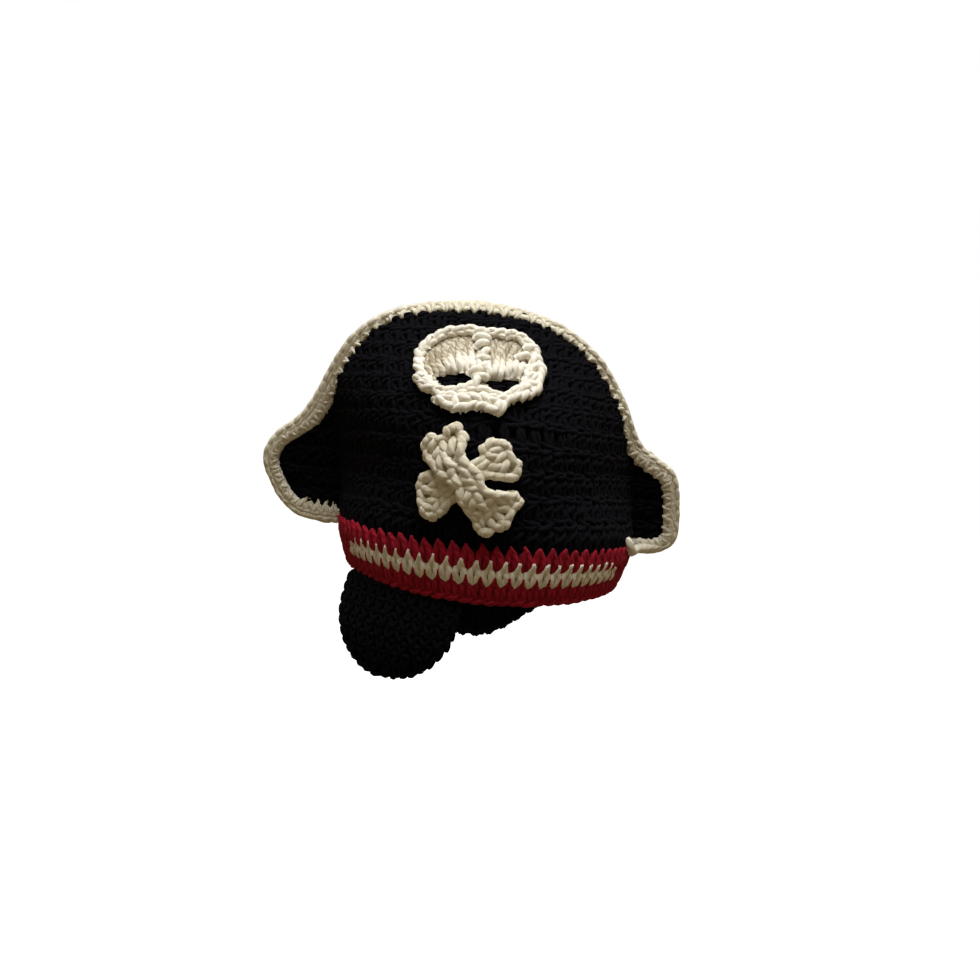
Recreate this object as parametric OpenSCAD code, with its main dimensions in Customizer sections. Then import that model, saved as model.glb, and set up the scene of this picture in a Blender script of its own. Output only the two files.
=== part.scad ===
// Crocheted pirate hat with a skull and crossed bones, and a separate eye patch on a strap.
// Origin: centre of the head opening, on the plane of the band's lower rim.
// +Z is up, the front faces -Y, and +X is to the right of someone looking at the front.
// Millimetres.

/* [Head opening] */
// Half width of the crown inside its fabric, at the top of the band
opening_a = 77; // [75:0.5:78]
// Half length of the crown inside its fabric, front to back
opening_b = 93.5; // [92:0.5:95]

/* [Crown] */
// Thickness of one black panel
panel_t = 4.4; // [3.6:0.1:4.6]
// Sideways lean of the crown's top against the band
crown_lean = -14; // [-15:0.5:-12]
// Height of the bend where the front panel starts to lean back
front_bend_z = 82; // [74:1:88]
// Height of the bend in the back panel
back_bend_z = 58; // [50:1:66]
// How far the ridge lies behind the middle (negative is towards the front)
ridge_y = -30; // [-34:1:-26]

/* [Edging] */
// Width of the white edging, seen from the front
edging_w = 7; // [6:0.5:8]
// Thickness of the white edging, over both panels
edging_t = 10.5; // [10:0.5:12]

/* [Band] */
// Height of one round of the band
round_h = 7.4; // [7:0.1:7.6]
// Height of the finishing round at the lower rim
rim_h = 2.2; // [2:0.1:2.6]
// Thickness of the band
band_t = 4.6; // [4:0.1:5]
// How far the lower rim curls in
band_curl = 6; // [5:0.1:6.2]
// How far the lower rim rises over the ears
band_side_lift = 4.5; // [3:0.5:5]

/* [Skull and bones] */
// Thickness of the sewn-on motifs
motif_t = 4; // [3:0.1:4.5]
// Width of a bone's shaft
shaft_w = 11; // [9:0.5:12]

/* [Eye patch] */
// Half width of the strap's loop, over its outside
strap_a = 70.4; // [69:0.1:70.5]
// Half length of the strap's loop, over its outside
strap_b = 86.2; // [84:0.1:86.3]
// Thickness of the strap
strap_t = 2.6; // [2:0.1:3]
// Height of the strap's band
strap_w = 20; // [16:1:22]
// Height of the patch
patch_h = 39.5; // [37:0.5:42]
// Thickness of the patch
patch_t = 3; // [2.5:0.1:3.2]
// How far the patch domes outwards
patch_dome = 5; // [3:0.5:6]

/* [Hidden] */

black = "#101012";
white = "#e8e2d4";
red = "#9c1220";

// Gap left between layers of fabric that lie on each other
gap = 0.1;
band_h = rim_h + 3 * round_h;

// Middle line of the white edging as [x, z], from the band up to the ridge.
// The height rises all the way, so a row of stitches finds its ends in these lists.
left_edge = [[-83, band_h], [-95, 24.8], [-105.5, 27], [-114.5, 35], [-121.5, 48], [-123, 57],
             [-117, 67.5], [-107.5, 75], [-98.5, 86.5], [-87.5, 109], [-76.5, 125], [-59.5, 136.5],
             [-36.5, 142.5], [-15, 144.2]];
right_edge = [[82.5, band_h], [94, 24.8], [101.5, 28.5], [104, 33.5], [103, 46], [101.3, 58],
              [97.5, 67], [89.5, 72], [77, 81], [65, 103.5], [50.5, 122.5], [31.5, 135.8],
              [7.5, 142.8], [-15, 144.2]];
ridge_z = 144.2;
panel_top_z = ridge_z - 0.8;
// The ears leave the dome below this height
ear_top_z = 60;
// The edging keeps this much flat fabric beside the dome
seam_margin = 4;
// The lean is complete this far above the band
lean_height = 110;
front_bend_w = 12;
back_bend_w = 30;
panel_rows = 24;
dome_columns = 26;
ear_columns = 4;

// Middle line of the skull's rim as [x, z] seen from the front
skull_path = [[-38.6, 108.4], [-38, 113.2], [-34.4, 118.2], [-29, 122.2], [-21, 125],
              [-12.4, 124.9], [-4, 125], [4.6, 125.2], [9.9, 122], [13.4, 117.2], [15.3, 112],
              [17.2, 108.8], [16, 103.5], [14.9, 98.3], [10.8, 95.7], [5.4, 93.1], [1.6, 90.6],
              [-1.1, 86.6], [-7.1, 88.4], [-12.4, 87.6], [-18, 86.6], [-23.2, 88],
              [-25.8, 91.8], [-29.7, 95.4], [-36, 101.2]];
skull_rim_r = 2.3;
// Eye holes: middle [x, z], half width, half height
skull_eyes = [[[-21, 99.8], 7.1, 2.8], [[0.7, 99], 6.2, 2.7]];
skull_middle = [-10.4, 105];

// Knobs of each bone as [x, z, radius], two at one end and two at the other
over_knobs = [[-24.6, 71.8, 5.6], [-16.2, 75.2, 6], [8, 48.5, 6.2], [0.2, 39, 6.4]];
under_knobs = [[1.4, 70.1, 6.2], [5.8, 62.8, 6], [-24.2, 53.6, 6.4], [-21.8, 42.4, 6.2]];
crossing = [-8.5, 57.8];

// Angles round the opening, measured from +X towards the back
patch_angle = 236;
patch_half_angle = 27;
patch_top_z = -3;
// The patch's upper corner at the temple stands this much higher
patch_temple_rise = 4;
patch_stand_off = 0.6;
patch_side_lift = 3;
patch_rim_r = 1.7;
strap_high_z = 11.5;
strap_low_z = -6.5;

// ---------------------------------------------------------------- general functions
function unit(v) = v / norm(v);
function smooth(t) = let (c = min(max(t, 0), 1)) c * c * (3 - 2 * c);
function bend(d, w) = (d + sqrt(d * d + w * w)) / 2;

// A smooth curve through the points p, with n steps from one to the next
function spline_point(p, i, t) =
    let (a = p[max(i - 1, 0)], b = p[i], c = p[i + 1], d = p[min(i + 2, len(p) - 1)])
    (2 * b + (c - a) * t + (2 * a - 5 * b + 4 * c - d) * t * t
        + (3 * b - a - 3 * c + d) * t * t * t) / 2;
function spline(p, n) = concat(
    [for (i = [0:len(p) - 2], k = [0:n - 1]) spline_point(p, i, k / n)], [p[len(p) - 1]]);
function closed_spline(p, n) =
    let (m = len(p), q = [for (i = [0:m + 2]) p[(i + m - 1) % m]])
    [for (i = [1:m], k = [0:n - 1]) spline_point(q, i, k / n)];
function turned(v) = [for (p = v) [p[1], p[0]]];

// ---------------------------------------------------------------- crown surface
left_curve = spline(left_edge, 6);
right_curve = spline(right_edge, 6);
left_x_of_z = turned(left_curve);
right_x_of_z = turned(right_curve);

function middle_x(z) = crown_lean * smooth((z - band_h) / lean_height);
function seam_y(z) = ridge_y * pow(max(z - band_h, 0) / (ridge_z - band_h), 1.3);
function half_width(z) = (lookup(z, right_x_of_z) - lookup(z, left_x_of_z)) / 2;
function dome_w(z) =
    let (h = half_width(z) - seam_margin)
    z < ear_top_z ? opening_a : (opening_a + h - sqrt(pow(opening_a - h, 2) + 4)) / 2;
function dome_power(z) = 1 + smooth((z - band_h) / 40);
function profile(z, start, bend_z, bend_w) =
    let (low = bend(band_h - bend_z, bend_w), high = bend(ridge_z - bend_z, bend_w))
    start + (ridge_y - start) * (bend(z - bend_z, bend_w) - low) / (high - low);
// side is -1 for the front panel and 1 for the back panel
function profile_y(z, side) = side < 0
    ? profile(z, -opening_b, front_bend_z, front_bend_w)
    : profile(z, opening_b, back_bend_z, back_bend_w);
function surface_y(x, z, side) =
    let (u = (x - middle_x(z)) / dome_w(z))
    abs(u) >= 1 ? seam_y(z)
        : seam_y(z) + (profile_y(z, side) - seam_y(z)) * pow(1 - u * u, dome_power(z) / 2);

// Row of x positions across a panel: ear, dome, ear
function row_x(z) =
    let (m = middle_x(z), w = dome_w(z), l = lookup(z, left_x_of_z),
         r = lookup(z, right_x_of_z))
    concat(
        [for (k = [0:ear_columns - 1]) l + (m - w - l) * k / ear_columns],
        [for (k = [0:dome_columns]) m - w * cos(180 * k / dome_columns)],
        [for (k = [1:ear_columns]) m + w + (r - m - w) * k / ear_columns]);
function row_z(t) = band_h + (panel_top_z - band_h) * (0.6 * t + 0.2 * (1 - cos(180 * t)));
function panel_grid(side) =
    [for (i = [0:panel_rows]) let (z = row_z(i / panel_rows))
        [for (x = row_x(z)) [x, surface_y(x, z, side), z]]];

// The same grid moved along its own normals by d
function grid_normal(g, i, j) =
    let (up = g[min(i + 1, len(g) - 1)][j] - g[max(i - 1, 0)][j],
         across = g[i][min(j + 1, len(g[i]) - 1)] - g[i][max(j - 1, 0)])
    unit(cross(across, up));
function offset_grid(g, d) =
    [for (i = [0:len(g) - 1]) [for (j = [0:len(g[i]) - 1]) g[i][j] + d * grid_normal(g, i, j)]];

// Point on the outside of the front panel, raised by h
function front_normal(x, z) =
    let (e = 0.5)
    unit([(surface_y(x + e, z, -1) - surface_y(x - e, z, -1)) / (2 * e), -1,
          (surface_y(x, z + e, -1) - surface_y(x, z - e, -1)) / (2 * e)]);
function on_front(x, z, h) =
    [x, surface_y(x, z, -1), z] + (gap + panel_t + h) * front_normal(x, z);

// ---------------------------------------------------------------- meshes
// Closed solid between two grids of points. Rows times columns points from inner to outer.
module shell(inner, outer) {
    rows = len(inner);
    cols = len(inner[0]);
    function at(layer, i, j) = (layer * rows + i) * cols + j;
    function quad(a, b, c, d) = [[a, b, c], [a, c, d]];
    skins = [for (i = [0:rows - 2], j = [0:cols - 2], f = concat(
        quad(at(1, i, j), at(1, i, j + 1), at(1, i + 1, j + 1), at(1, i + 1, j)),
        quad(at(0, i, j), at(0, i + 1, j), at(0, i + 1, j + 1), at(0, i, j + 1)))) f];
    ends = [for (j = [0:cols - 2], f = concat(
        quad(at(1, 0, j + 1), at(1, 0, j), at(0, 0, j), at(0, 0, j + 1)),
        quad(at(1, rows - 1, j), at(1, rows - 1, j + 1),
             at(0, rows - 1, j + 1), at(0, rows - 1, j)))) f];
    sides = [for (i = [0:rows - 2], f = concat(
        quad(at(1, i, 0), at(1, i + 1, 0), at(0, i + 1, 0), at(0, i, 0)),
        quad(at(1, i + 1, cols - 1), at(1, i, cols - 1),
             at(0, i, cols - 1), at(0, i + 1, cols - 1)))) f];
    points = [for (g = [inner, outer], row = g, p = row) p];
    polyhedron(points, concat(skins, ends, sides), convexity = 6);
}

// Solid swept through a list of rings, each the same number of points
module swept(rings, closed) {
    count = len(rings);
    sides = len(rings[0]);
    function at(k, m) = (k % count) * sides + m % sides;
    walls = [for (k = [0:count - (closed ? 1 : 2)], m = [0:sides - 1])
        each [[at(k, m), at(k, m + 1), at(k + 1, m + 1)],
              [at(k, m), at(k + 1, m + 1), at(k + 1, m)]]];
    caps = closed ? [] : [[for (m = [sides - 1:-1:0]) m],
                          [for (m = [0:sides - 1]) at(count - 1, m)]];
    polyhedron([for (r = rings, p = r) p], concat(walls, caps), convexity = 6);
}

// Ring of n points round p: half width a along u, half width b along v
function oval(p, u, v, a, b, n) =
    [for (m = [0:n - 1]) p + a * cos(360 * m / n) * u + b * sin(360 * m / n) * v];

// ---------------------------------------------------------------- crown
module panel(side) {
    g = panel_grid(side);
    inner = offset_grid(g, -side * gap);
    outer = offset_grid(g, -side * (gap + panel_t));
    if (side < 0) shell([for (row = inner) [for (j = [len(row) - 1:-1:0]) row[j]]],
                        [for (row = outer) [for (j = [len(row) - 1:-1:0]) row[j]]]);
    else shell(inner, outer);
}

module front_panel() {
    color(black) panel(-1);
}

module back_panel() {
    color(black) panel(1);
}

// Single crochet round the seam of the two panels, from one side of the band to the other
module white_edging() {
    path = concat(left_curve, [for (i = [len(right_curve) - 2:-1:0]) right_curve[i]]);
    pts = [for (p = path) [p[0], seam_y(p[1]), p[1]]];
    last = len(pts) - 1;
    rings = [for (i = [0:last])
        let (t = unit(pts[min(i + 1, last)] - pts[max(i - 1, 0)]),
             v = unit(cross(t, cross([0, 1, 0], t))), u = cross(v, t))
        oval(pts[i], u, v, edging_w / 2, edging_t / 2, 8)];
    color(white) swept(rings, false);
}

// ---------------------------------------------------------------- band
function ellipse_point(a, b, angle, out, z) =
    let (n = unit([cos(angle) / a, sin(angle) / b]))
    [a * cos(angle) + out * n[0], b * sin(angle) + out * n[1], z];
function curl_in(z) = -band_curl * pow(1 - z / band_h, 1.3);
function band_z(angle, z) = z + band_side_lift * pow(cos(angle), 2) * (1 - z / band_h);

// One round of stitches between two heights, with a slightly bulged outside
module band_round(low, high, bulge) {
    mid = (low + high) / 2;
    section = [[curl_in(low), low], [curl_in(high), high],
               [curl_in(high) + band_t, high], [curl_in(mid) + band_t + bulge, mid],
               [curl_in(low) + band_t, low]];
    rings = [for (angle = [0:5:355])
        [for (s = section)
            ellipse_point(opening_a, opening_b, angle, s[0], band_z(angle, s[1]))]];
    swept(rings, true);
}

module band_rim() {
    color(red) band_round(0, rim_h - gap, 0.3);
}

module band_lower_red() {
    color(red) band_round(rim_h, rim_h + round_h - gap, 0.5);
}

module band_white() {
    color(white) band_round(rim_h + round_h, rim_h + 2 * round_h - gap, 0.5);
}

module band_upper_red() {
    color(red) band_round(rim_h + 2 * round_h, band_h - gap, 0.5);
}

// ---------------------------------------------------------------- skull and bones
// A layer over the front panel between heights lift(x, z) and lift(x, z) + motif_t
module motif_layer(x_range, z_range, over) {
    function lift(x, z) = gap + (over ? (motif_t + gap)
        * (1 - smooth((norm([x, z] - crossing) - 9) / 11)) : 0);
    function layer(extra) =
        [for (z = z_range) [for (x = x_range) on_front(x, z, lift(x, z) + extra)]];
    shell(layer(0), layer(motif_t));
}

// Cut a layer to a shape drawn as seen from the front
module cut_to_shape() {
    rotate([90, 0, 0]) linear_extrude(height = 130) children();
}

module skull_shape() {
    difference() {
        offset(delta = -skull_rim_r) polygon(closed_spline(skull_path, 3));
        for (eye = skull_eyes)
            polygon([for (a = [0:20:340])
                [eye[0][0] + eye[1] * cos(a), eye[0][1] + eye[2] * sin(a)]]);
    }
}

module skull_face() {
    color(white) intersection() {
        motif_layer([30:-5:-50], [80:4:136], false);
        cut_to_shape() skull_shape();
    }
}

module skull_rim() {
    path = closed_spline(skull_path, 3);
    n = len(path);
    function at(i) = on_front(path[i % n][0], path[i % n][1], gap + skull_rim_r);
    rings = [for (i = [0:n - 1])
        let (t = unit(at(i + 1) - at(i + n - 1)),
             v = front_normal(path[i][0], path[i][1]), u = unit(cross(v, t)))
        oval(at(i), u, v, skull_rim_r - gap / 2, skull_rim_r, 8)];
    color(white) swept(rings, true);
}

// Whipstitches that sew a motif to the panel, each a short bar across its edge
module stitches(spots, centre) {
    for (s = spots) {
        p = on_front(s[0], s[1], 0.6);
        out = unit([s[0] - centre[0], 0, s[1] - centre[1]]);
        n = front_normal(s[0], s[1]);
        along = unit(out - (out * n) * n);
        side = cross(n, along);
        multmatrix([[side[0], n[0], along[0], p[0]], [side[1], n[1], along[1], p[1]],
                    [side[2], n[2], along[2], p[2]], [0, 0, 0, 1]])
            translate([0, 0, -1.5]) cylinder(r = 0.6, h = 3, $fn = 16);
    }
}

module skull_stitches() {
    path = closed_spline(skull_path, 3);
    step = 4;
    spots = [for (i = [0:step:len(path) - 1])
        let (p = path[i]) p + (skull_rim_r + 0.6) * unit(p - skull_middle)];
    color(white) stitches(spots, skull_middle);
}

module bone_shape(knobs) {
    a = (knobs[0] + knobs[1]) / 2;
    b = (knobs[2] + knobs[3]) / 2;
    for (k = knobs) translate([k[0], k[1]]) circle(r = k[2], $fn = 24);
    hull() for (e = [a, b]) translate([e[0], e[1]]) circle(r = shaft_w / 2, $fn = 24);
}

module bone_over() {
    color(white) intersection() {
        motif_layer([20:-3.5:-43], [30:3.5:86], true);
        cut_to_shape() bone_shape(over_knobs);
    }
}

module bone_under() {
    color(white) intersection() {
        motif_layer([20:-3.5:-43], [30:3.5:86], false);
        cut_to_shape() bone_shape(under_knobs);
    }
}

module bone_stitches() {
    spots = [for (k = concat(over_knobs, under_knobs))
        let (p = [k[0], k[1]]) p + (k[2] + 0.8) * unit(p - crossing)];
    color(white) stitches(spots, crossing);
}

// ---------------------------------------------------------------- eye patch and strap
// Height of the strap's middle: high inside the band, low where it crosses the brow
function strap_z(angle) =
    let (low = smooth((angle - 190) / 30) * smooth((303 - angle) / 33))
    strap_high_z + (strap_low_z - strap_high_z) * low;

module strap() {
    h = strap_w / 2;
    section = [[-strap_t, -h + 0.5], [-strap_t, h - 0.5], [-strap_t / 2, h],
               [0, h - 0.5], [0, -h + 0.5], [-strap_t / 2, -h]];
    rings = [for (angle = [0:5:355]) [for (s = section)
        ellipse_point(strap_a, strap_b, angle, s[0], strap_z(angle) + s[1])]];
    color(black) swept(rings, true);
}

// The sewn join of the strap's two ends, inside the back of the loop
module strap_seam() {
    color(black)
        translate([0, strap_b - strap_t - gap - 0.6, strap_high_z])
            cube([3, 1.2, strap_w - 2], center = true);
}

// Point of the patch: s from -1 at the temple to 1 at the nose, t from 0 at the top to 1
function patch_point(s, t, out) =
    let (reach = patch_half_angle * pow(1 - pow(t, 2.4), 0.5),
         lift = patch_stand_off + patch_side_lift * (1 - s) / 2 + patch_dome * sin(150 * t))
    ellipse_point(strap_a, strap_b, patch_angle + s * reach, lift + out,
                  patch_top_z + patch_temple_rise * (1 - s) / 2 * (1 - t) - patch_h * t);

module eye_patch() {
    rows = [0:0.1:0.9];
    function layer(out) =
        [for (t = concat([for (r = rows) r], [0.97])) [for (s = [-1:0.2:1.01])
            patch_point(s * 0.96, t * 0.98, out)]];
    color(black) shell(layer(patch_t), layer(0));
}

// Last round of stitches, all the way round the patch
module patch_rim() {
    function edge(i) = i < 12 ? patch_point(-1 + i / 6, 0, patch_t / 2)
        : i < 24 ? patch_point(1, sin(7.5 * (i - 12)) * 0.995, patch_t / 2)
        : patch_point(-1, sin(7.5 * (36 - i)) * 0.995, patch_t / 2);
    n = 36;
    rings = [for (i = [0:n - 1])
        let (t = unit(edge((i + 1) % n) - edge((i + n - 1) % n)),
             v = unit(cross(t, [cos(patch_angle), sin(patch_angle), 0])), u = cross(v, t))
        oval(edge(i), u, v, patch_rim_r, patch_rim_r, 8)];
    color(black) swept(rings, true);
}

front_panel();
back_panel();
white_edging();
band_upper_red();
band_white();
band_lower_red();
band_rim();
skull_face();
skull_rim();
skull_stitches();
bone_over();
bone_under();
bone_stitches();
strap();
strap_seam();
eye_patch();
patch_rim();
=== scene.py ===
"""Looks of a crocheted pirate hat: every stitch is a strand of yarn laid on the CAD surfaces."""
import math

import bpy
import numpy as np
from mathutils import Matrix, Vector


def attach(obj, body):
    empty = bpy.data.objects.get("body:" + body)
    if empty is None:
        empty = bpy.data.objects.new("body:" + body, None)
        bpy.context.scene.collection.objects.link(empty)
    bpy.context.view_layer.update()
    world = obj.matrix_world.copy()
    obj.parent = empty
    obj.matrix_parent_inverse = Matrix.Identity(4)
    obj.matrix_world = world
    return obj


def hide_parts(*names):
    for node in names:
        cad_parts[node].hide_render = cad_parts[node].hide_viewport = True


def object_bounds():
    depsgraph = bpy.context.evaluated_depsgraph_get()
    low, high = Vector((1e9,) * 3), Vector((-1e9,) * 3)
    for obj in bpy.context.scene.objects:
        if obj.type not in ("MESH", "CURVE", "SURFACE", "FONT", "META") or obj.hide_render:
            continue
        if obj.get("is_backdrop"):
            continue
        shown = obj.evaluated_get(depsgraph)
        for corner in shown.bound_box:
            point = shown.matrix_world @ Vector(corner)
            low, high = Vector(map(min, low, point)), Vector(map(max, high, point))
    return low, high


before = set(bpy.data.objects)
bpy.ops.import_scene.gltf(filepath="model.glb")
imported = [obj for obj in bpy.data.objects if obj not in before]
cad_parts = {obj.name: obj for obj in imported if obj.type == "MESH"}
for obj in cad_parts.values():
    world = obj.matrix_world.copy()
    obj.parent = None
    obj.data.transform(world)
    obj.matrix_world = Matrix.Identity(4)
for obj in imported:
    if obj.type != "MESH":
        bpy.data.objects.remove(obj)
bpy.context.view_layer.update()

# Millimetres, as in the CAD source. Meshes are scaled to metres when they are made.
MM = 0.001
OPENING_A = 77.0
OPENING_B = 93.5
PANEL_T = 4.4
GAP = 0.1
CROWN_LEAN = -14.0
LEAN_HEIGHT = 110.0
RIDGE_Y = -30.0
RIDGE_Z = 144.2
EAR_TOP_Z = 60.0
SEAM_MARGIN = 4.0
RIM_H = 2.2
ROUND_H = 7.4
BAND_H = RIM_H + 3 * ROUND_H
BAND_CURL = 6.0
BAND_SIDE_LIFT = 4.5
BENDS = {-1: (-OPENING_B, 82.0, 12.0), 1: (OPENING_B, 58.0, 30.0)}
LEFT_EDGE = [
    [-83, BAND_H], [-95, 24.8], [-105.5, 27], [-114.5, 35], [-121.5, 48], [-123, 57], [-117, 67.5],
    [-107.5, 75], [-98.5, 86.5], [-87.5, 109], [-76.5, 125], [-59.5, 136.5], [-36.5, 142.5],
    [-15, 144.2]
]
RIGHT_EDGE = [
    [82.5, BAND_H], [94, 24.8], [101.5, 28.5], [104, 33.5], [103, 46], [101.3, 58], [97.5, 67],
    [89.5, 72], [77, 81], [65, 103.5], [50.5, 122.5], [31.5, 135.8], [7.5, 142.8], [-15, 144.2]
]
SKULL_PATH = [
    [-38.6, 108.4], [-38, 113.2], [-34.4, 118.2], [-29, 122.2], [-21, 125], [-12.4, 124.9],
    [-4, 125], [4.6, 125.2], [9.9, 122], [13.4, 117.2], [15.3, 112], [17.2, 108.8], [16, 103.5],
    [14.9, 98.3], [10.8, 95.7], [5.4, 93.1], [1.6, 90.6], [-1.1, 86.6], [-7.1, 88.4], [-12.4, 87.6],
    [-18, 86.6], [-23.2, 88], [-25.8, 91.8], [-29.7, 95.4], [-36, 101.2]
]
OVER_KNOBS = [[-24.6, 71.8, 5.6], [-16.2, 75.2, 6], [8, 48.5, 6.2], [0.2, 39, 6.4]]
UNDER_KNOBS = [[1.4, 70.1, 6.2], [5.8, 62.8, 6], [-24.2, 53.6, 6.4], [-21.8, 42.4, 6.2]]
CROSSING = np.array([-8.5, 57.8])
MOTIF_T = 4.0
SLITS = [[-0.2, 79.4], [7.1, 81.2], [14, 80.3], [20.9, 80.4], [27.3, 80.1]]
STRAP_A = 70.4
STRAP_B = 86.2
STRAP_T = 2.6
STRAP_W = 20.0
STRAP_HIGH_Z = 11.5
STRAP_LOW_Z = -6.5
PATCH_ANGLE = 236.0
PATCH_HALF_ANGLE = 27.0
PATCH_TOP_Z = -3.0
PATCH_H = 39.5
PATCH_TEMPLE_RISE = 4.0
PATCH_DOME = 5.0
PATCH_STAND_OFF = 0.6
PATCH_SIDE_LIFT = 3.0


# ---- curves and surfaces
def smooth(t):
    c = np.clip(t, 0, 1)
    return c * c * (3 - 2 * c)


def unit(v):
    return v / np.maximum(np.linalg.norm(v, axis=-1, keepdims=True), 1e-9)


def joined(*parts):
    """Points from their coordinates, each an array or one number for all."""
    return np.stack(np.broadcast_arrays(*parts), axis=-1)


def net(across, up):
    return joined(*np.meshgrid(across, up))


def run(x, y):
    """Length of the way from its start to each point."""
    return np.concatenate([[0], np.cumsum(np.hypot(np.diff(x), np.diff(y)))])


def between(s, known, points):
    """Points at s on the way through points, which lie at known."""
    return np.stack([np.interp(s, known, column) for column in points.T], axis=-1)


def refine(points, steps):
    """Catmull-Rom curve through points[strand, k], with steps from one point to the next."""
    points = np.asarray(points, float)
    strands, count, size = points.shape
    first = 2 * points[:, :1] - points[:, 1:2]
    last = 2 * points[:, -1:] - points[:, -2:-1]
    p = np.concatenate([first, points, last], axis=1)
    a, b, c, d = (p[:, k:k + count - 1, None] for k in range(4))
    t = (np.arange(steps) / steps)[None, None, :, None]
    q = (2 * b + (c - a) * t + (2 * a - 5 * b + 4 * c - d) * t**2
         + (3 * b - a - 3 * c + d) * t**3) / 2
    return np.concatenate([q.reshape(strands, -1, size), points[:, -1:]], axis=1)


def spline(points, steps):
    return refine([points], steps)[0]


def closed_spline(points, steps):
    p = np.asarray(points, float)
    padded = np.concatenate([p[-2:], p, p[:3]])
    return spline(padded, steps)[2 * steps:(2 + len(p)) * steps + 1]


left_curve = spline(LEFT_EDGE, 6)
right_curve = spline(RIGHT_EDGE, 6)


def left_x(z):
    return np.interp(z, left_curve[:, 1], left_curve[:, 0])


def right_x(z):
    return np.interp(z, right_curve[:, 1], right_curve[:, 0])


def bend(d, w):
    return (d + np.sqrt(d * d + w * w)) / 2


def middle_x(z):
    return CROWN_LEAN * smooth((z - BAND_H) / LEAN_HEIGHT)


def seam_y(z):
    return RIDGE_Y * (np.maximum(z - BAND_H, 0) / (RIDGE_Z - BAND_H)) ** 1.3


def dome_w(z):
    h = (right_x(z) - left_x(z)) / 2 - SEAM_MARGIN
    narrowed = (OPENING_A + h - np.sqrt((OPENING_A - h) ** 2 + 4)) / 2
    return np.where(z < EAR_TOP_Z, OPENING_A, narrowed)


def surface_y(x, z, side):
    """Inner face of a crown panel. side is -1 for the front and 1 for the back."""
    start, bend_z, bend_w = BENDS[side]
    low = bend(BAND_H - bend_z, bend_w)
    high = bend(RIDGE_Z - bend_z, bend_w)
    profile = start + (RIDGE_Y - start) * (bend(z - bend_z, bend_w) - low) / (high - low)
    u = (x - middle_x(z)) / dome_w(z)
    power = 1 + smooth((z - BAND_H) / 40)
    dome = np.maximum(1 - u * u, 0) ** (power / 2)
    return seam_y(z) + (profile - seam_y(z)) * dome


class Panel:
    """A crown panel unrolled to s, the way across from its middle line, and v, the way up."""
    STEP = 2.0

    def __init__(self, side):
        z = np.arange(BAND_H - 14, RIDGE_Z + 8, 0.25)
        y = surface_y(middle_x(z), z, side)
        up = run(z, y)
        up -= np.interp(BAND_H, z, up)
        self.side = side
        self.v = np.arange(math.ceil(up[0]), up[-1], self.STEP)
        self.z = np.interp(self.v, up, z)
        self.s = np.arange(-220, 220.1, self.STEP)
        self.top = float(np.interp(RIDGE_Z - 0.8, self.z, self.v))
        turn = np.linspace(0, math.pi, 181)
        flat = np.linspace(0, 100, 51)[1:]
        rows = []
        for z in self.z:
            m, w = middle_x(z), dome_w(z)
            x = np.concatenate([m - w - flat[::-1], m - w * np.cos(turn), m + w + flat])
            y = surface_y(x, z, side)
            s = run(x, y)
            s -= s[len(x) // 2]
            rows.append([np.interp(self.s, s, x), np.interp(self.s, s, y), np.full(len(self.s), z)])
        p = np.array(rows).transpose(0, 2, 1)
        for _ in range(3):
            p[:, 1:-1] = (p[:, :-2] + 2 * p[:, 1:-1] + p[:, 2:]) / 4
        across = unit(np.gradient(p, axis=1))
        upward = unit(np.gradient(p, axis=0))
        self.p = p
        self.n = unit(np.cross(across, upward)) * -side
        self.limits = np.array([np.interp([left_x(z), right_x(z)], row[:, 0], self.s)
                                for z, row in zip(self.z, p)])

    def ends(self, v):
        """s at the left and right outline of the row at v."""
        return [np.interp(v, self.v, self.limits[:, k]) for k in (0, 1)]

    def row(self, v):
        k = np.clip((v - self.v[0]) / self.STEP, 0, len(self.v) - 1.001)
        i = int(k)
        return self.p[i, :, 0] * (1 - k + i) + self.p[i + 1, :, 0] * (k - i)

    def find(self, x, z):
        v = float(np.interp(z, self.z, self.v))
        return float(np.interp(x, self.row(v), self.s)), v

    def place(self, svh):
        """Points above the panel's inner face, from (s, v, height)."""
        i = np.clip((svh[..., 1] - self.v[0]) / self.STEP, 0, len(self.v) - 1.001)
        j = np.clip((svh[..., 0] - self.s[0]) / self.STEP, 0, len(self.s) - 1.001)
        i0, j0 = i.astype(int), j.astype(int)
        fi, fj = (i - i0)[..., None], (j - j0)[..., None]

        def mixed(g):
            low = g[i0, j0] * (1 - fj) + g[i0, j0 + 1] * fj
            high = g[i0 + 1, j0] * (1 - fj) + g[i0 + 1, j0 + 1] * fj
            return low * (1 - fi) + high * fi

        return mixed(self.p) + unit(mixed(self.n)) * (GAP + svh[..., 2:])

    def place_inside(self, svh):
        """The same, held inside the outline and pressed flat beside the band."""
        v = np.clip(svh[..., 1], 0.6, self.top - 0.6)
        low, high = self.ends(v)
        s = np.clip(svh[..., 0], low + 1.2, high - 1.2)
        h = svh[..., 2] * (0.72 + 0.28 * smooth((v - 1) / 8))
        return self.place(joined(s, v, h))


def on_panel(xzh, side=-1):
    """Points above a panel, from (x, z, height over its inner face)."""
    x, z, h = xzh[..., 0], xzh[..., 1], xzh[..., 2:]
    e = 1.0
    slope_x = (surface_y(x + e, z, side) - surface_y(x - e, z, side)) / (2 * e)
    slope_z = (surface_y(x, z + e, side) - surface_y(x, z - e, side)) / (2 * e)
    normal = unit(joined(-slope_x, 1.0, -slope_z)) * side
    return joined(x, surface_y(x, z, side), z) + (GAP + h) * normal


def on_front(xzh):
    """Points above the front panel's outer face, from (x, z, height)."""
    return on_panel(xzh + np.array([0, 0, PANEL_T]))


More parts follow.
